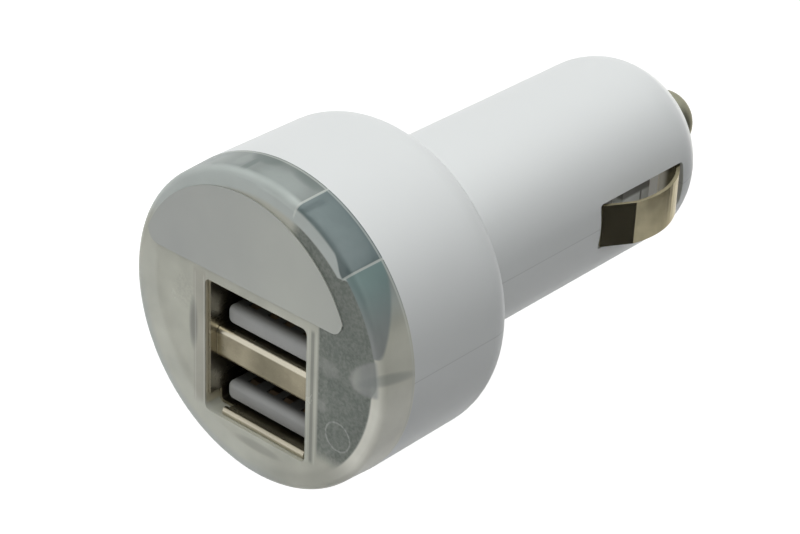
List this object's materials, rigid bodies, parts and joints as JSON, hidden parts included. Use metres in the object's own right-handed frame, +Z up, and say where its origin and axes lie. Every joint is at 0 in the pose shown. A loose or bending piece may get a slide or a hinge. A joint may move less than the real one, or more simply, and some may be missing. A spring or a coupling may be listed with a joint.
{
  "type": "car usb charger plug",
  "caption": "Round-headed vehicle power plug with stacked charging ports in a clear front cap, a sprung tip contact and sprung side clips.",
  "frame": {"origin": "on the plug's axis at the shoulder, where the head's flat rear face meets the barrel", "axes": "+Y runs along the barrel towards the tip, the ports face -Y, +Z is up through the bare label, +X is towards the right clip"},
  "size_m": [0.0326, 0.0659, 0.0326],
  "materials": {
    "white_housing": "satin moulded white plastic",
    "clear_cap": "frosted clear plastic",
    "label": "smooth silver-grey film",
    "port_steel": "nickel-plated sheet",
    "port_plastic": "grey-white moulded plastic",
    "contact_metal": "gold-flashed strip",
    "board": "green lacquered laminate",
    "dark_parts": "black moulded plastic",
    "ferrite": "matt sintered ferrite",
    "copper": "enamelled copper wire",
    "lamp": "clear lens",
    "spring_steel": "nickel-plated spring strip",
    "tip_metal": "nickel-plated turned metal"
  },
  "bodies": {
    "plug": {"upper_housing": "white_housing", "lower_housing": "white_housing", "clear_cap": "clear_cap", "face_label": "label", "port_shell": "port_steel", "port_divider": "port_steel", "port_insulator": "port_plastic", "back_shield": "port_steel", "lower_contact_1": "contact_metal", "lower_contact_2": "contact_metal", "lower_contact_3": "contact_metal", "lower_contact_4": "contact_metal", "upper_contact_1": "contact_metal", "upper_contact_2": "contact_metal", "upper_contact_3": "contact_metal", "upper_contact_4": "contact_metal", "main_board": "board", "input_capacitor": "dark_parts", "output_capacitor": "dark_parts", "choke_core": "ferrite", "choke_winding": "copper", "converter_chip": "dark_parts", "rectifier_diode": "dark_parts", "chip_resistors": "dark_parts", "status_lamp": "lamp", "spring_seat": "contact_metal", "left_clip_finger": "contact_metal", "right_clip_finger": "contact_metal", "tip_spring": "spring_steel"},
    "tip": {"tip_contact": "tip_metal"},
    "left_spring": {"left_clip": "spring_steel"},
    "right_spring": {"right_clip": "spring_steel"}
  },
  "joints": [
    {"name": "tip_press", "type": "slide", "parent": "plug", "child": "tip", "axis": [0, -1, 0], "range_m": [0, 0.0022], "stiffness_N_per_m": 2500, "deforming": ["tip_spring"]},
    {"name": "left_clip_press", "type": "hinge", "parent": "plug", "child": "left_spring", "pos_m": [-0.0075, 0.0354, 0], "axis": [0, 0, 1], "range_deg": [0, 13], "stiffness_Nm_per_rad": 0.3},
    {"name": "right_clip_press", "type": "hinge", "parent": "plug", "child": "right_spring", "pos_m": [0.0075, 0.0354, 0], "axis": [0, 0, -1], "range_deg": [0, 13], "stiffness_Nm_per_rad": 0.3}
  ]
}
